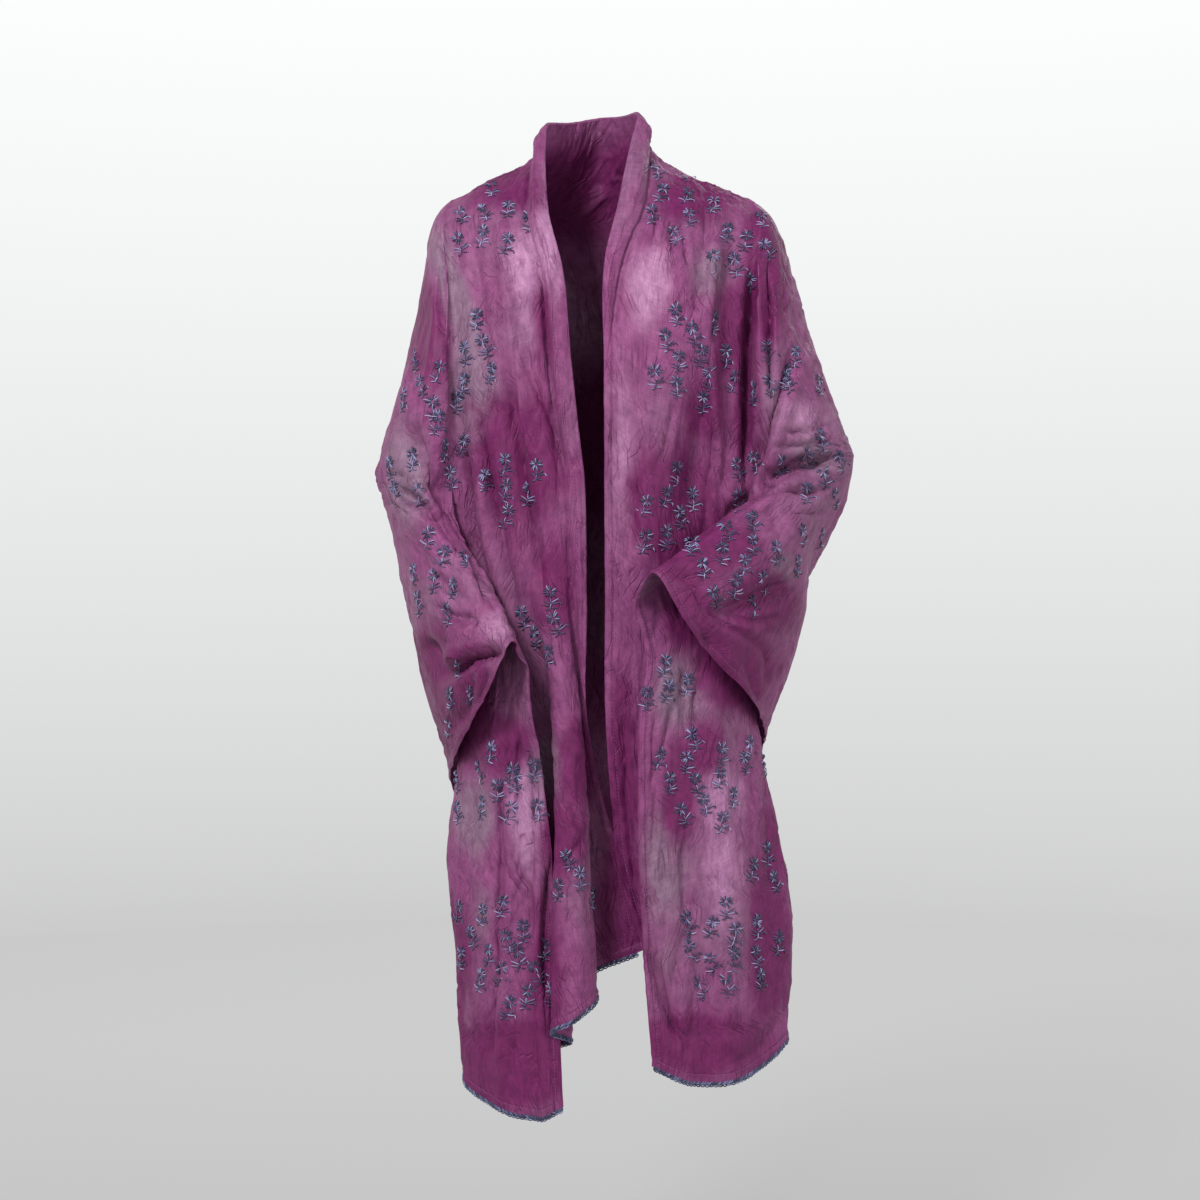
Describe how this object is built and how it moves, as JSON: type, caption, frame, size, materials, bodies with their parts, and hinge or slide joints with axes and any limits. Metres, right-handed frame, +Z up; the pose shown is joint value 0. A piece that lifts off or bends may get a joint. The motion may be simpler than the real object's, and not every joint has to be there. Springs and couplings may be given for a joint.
{
  "type": "silk shawl in worn form",
  "caption": "Hollow silk shawl draped as worn, with turned-out neck edge, wrapped arms, open cuffs and doubled front ends with crochet edging.",
  "frame": {"origin": "centre of the neck at the level of the tops of the shoulders, where the wearer holds the shawl", "axes": "+Z up, the wearer faces -Y, +X is the wearer's left"},
  "size_m": [0.5918, 0.3356, 1.2465],
  "materials": {
    "silk": "hand-dyed silk, magenta to grey-lilac, soft sheen",
    "crochet": "slate-blue cotton crochet"
  },
  "bodies": {
    "root": {"upper_back": "silk", "lower_back": "silk", "neck_turn": "silk", "arm_wrap_left": "silk", "cuff_wrap_left": "silk", "arm_wrap_right": "silk", "cuff_wrap_right": "silk", "chest_left": "silk", "chest_right": "silk", "fall_left": "silk", "fall_right": "silk", "drape_left": "silk", "drape_right": "silk", "lapel_left": "silk", "lapel_right": "silk", "edging_fall_left": "crochet", "edging_fall_right": "crochet", "edging_drape_left": "crochet", "edging_drape_right": "crochet"}
  },
  "joints": []
}
